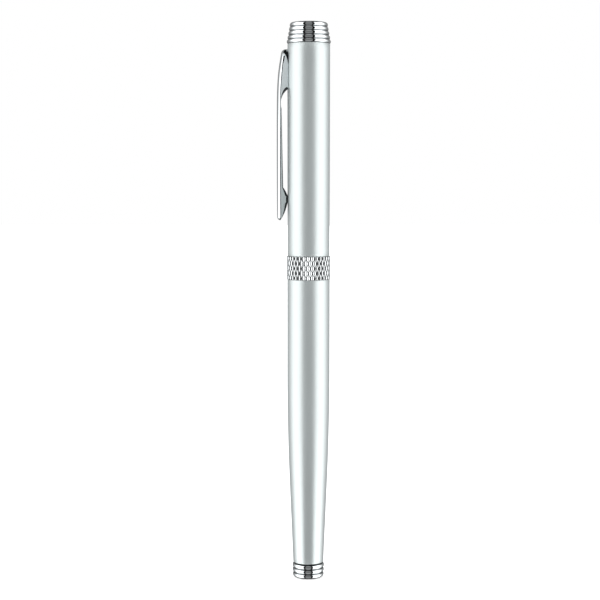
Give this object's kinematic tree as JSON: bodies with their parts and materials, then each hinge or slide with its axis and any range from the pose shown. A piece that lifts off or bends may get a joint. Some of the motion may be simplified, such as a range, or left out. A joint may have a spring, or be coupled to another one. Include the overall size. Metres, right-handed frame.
{
  "type": "rollerball pen",
  "caption": "Capped rollerball pen with a satin tapered barrel, beaded chrome crown and tail, a knurled chrome band and a sprung side clip.",
  "frame": {"origin": "centre of the flat tail face", "axes": "+Z from the tail to the crown of the cap, -X towards the clip, pen closed and standing on its tail"},
  "size_m": [0.0132, 0.0108, 0.137],
  "materials": {
    "satin_silver": "satin silver lacquer",
    "chrome": "polished chrome plate",
    "brass": "turned",
    "spring_steel": "drawn wire",
    "stainless": "turned stainless",
    "screw_steel": "zinc plated",
    "carbide": "polished carbide",
    "grip_black": "gloss black resin",
    "liner_plastic": "matt",
    "refill_plastic": "moulded",
    "holder_plastic": "moulded",
    "ink_fibre": "inked polyester fibre"
  },
  "bodies": {
    "barrel": {"barrel_tube": "satin_silver", "tail_plug": "chrome", "tail_insert": "brass", "barrel_bush": "brass", "refill_spring": "spring_steel"},
    "refill": {"refill_end_plug": "refill_plastic", "refill_tube": "stainless", "ink_reservoir": "ink_fibre", "ink_feed": "ink_fibre", "tip_holder": "holder_plastic", "tip_cone": "stainless"},
    "ball": {"writing_ball": "carbide"},
    "section": {"section_coupling": "brass", "section_collar": "chrome", "grip_section": "grip_black", "nose_cone": "chrome"},
    "snap_ring": {"snap_ring": "spring_steel"},
    "cap": {"cap_tube": "satin_silver", "cap_band": "chrome", "cap_mouth_bush": "brass", "inner_cap": "liner_plastic", "clip_carrier": "brass", "crown_screw": "screw_steel", "cap_crown": "chrome"},
    "clip": {"clip": "chrome"}
  },
  "joints": [
    {"name": "refill_rise", "type": "slide", "parent": "barrel", "child": "refill", "axis": [0, 0, 1], "range_m": [0, 0.006], "deforming": ["refill_spring"]},
    {"name": "section_turn", "type": "hinge", "parent": "refill", "child": "section", "pos_m": [0, 0, 0.0745], "axis": [0, 0, 1], "range_deg": [0, 2880]},
    {"name": "ball_roll", "type": "hinge", "parent": "refill", "child": "ball", "pos_m": [0, 0, 0.12045], "axis": [1, 0, 0], "continuous": true},
    {"name": "cap_turn", "type": "hinge", "parent": "section", "child": "snap_ring", "pos_m": [0, 0, 0.07685], "axis": [0, 0, 1], "continuous": true},
    {"name": "cap_pull", "type": "slide", "parent": "snap_ring", "child": "cap", "axis": [0, 0, 1], "range_m": [0, 0.06]},
    {"name": "clip_flex", "type": "hinge", "parent": "cap", "child": "clip", "pos_m": [-0.0052, 0, 0.1303], "axis": [0, 1, 0], "range_deg": [0, 3.5], "stiffness_Nm_per_rad": 2}
  ],
  "couplings": [
    {"joint": "section_turn", "follows": "refill_rise", "rad_per_m": 8377.6}
  ]
}
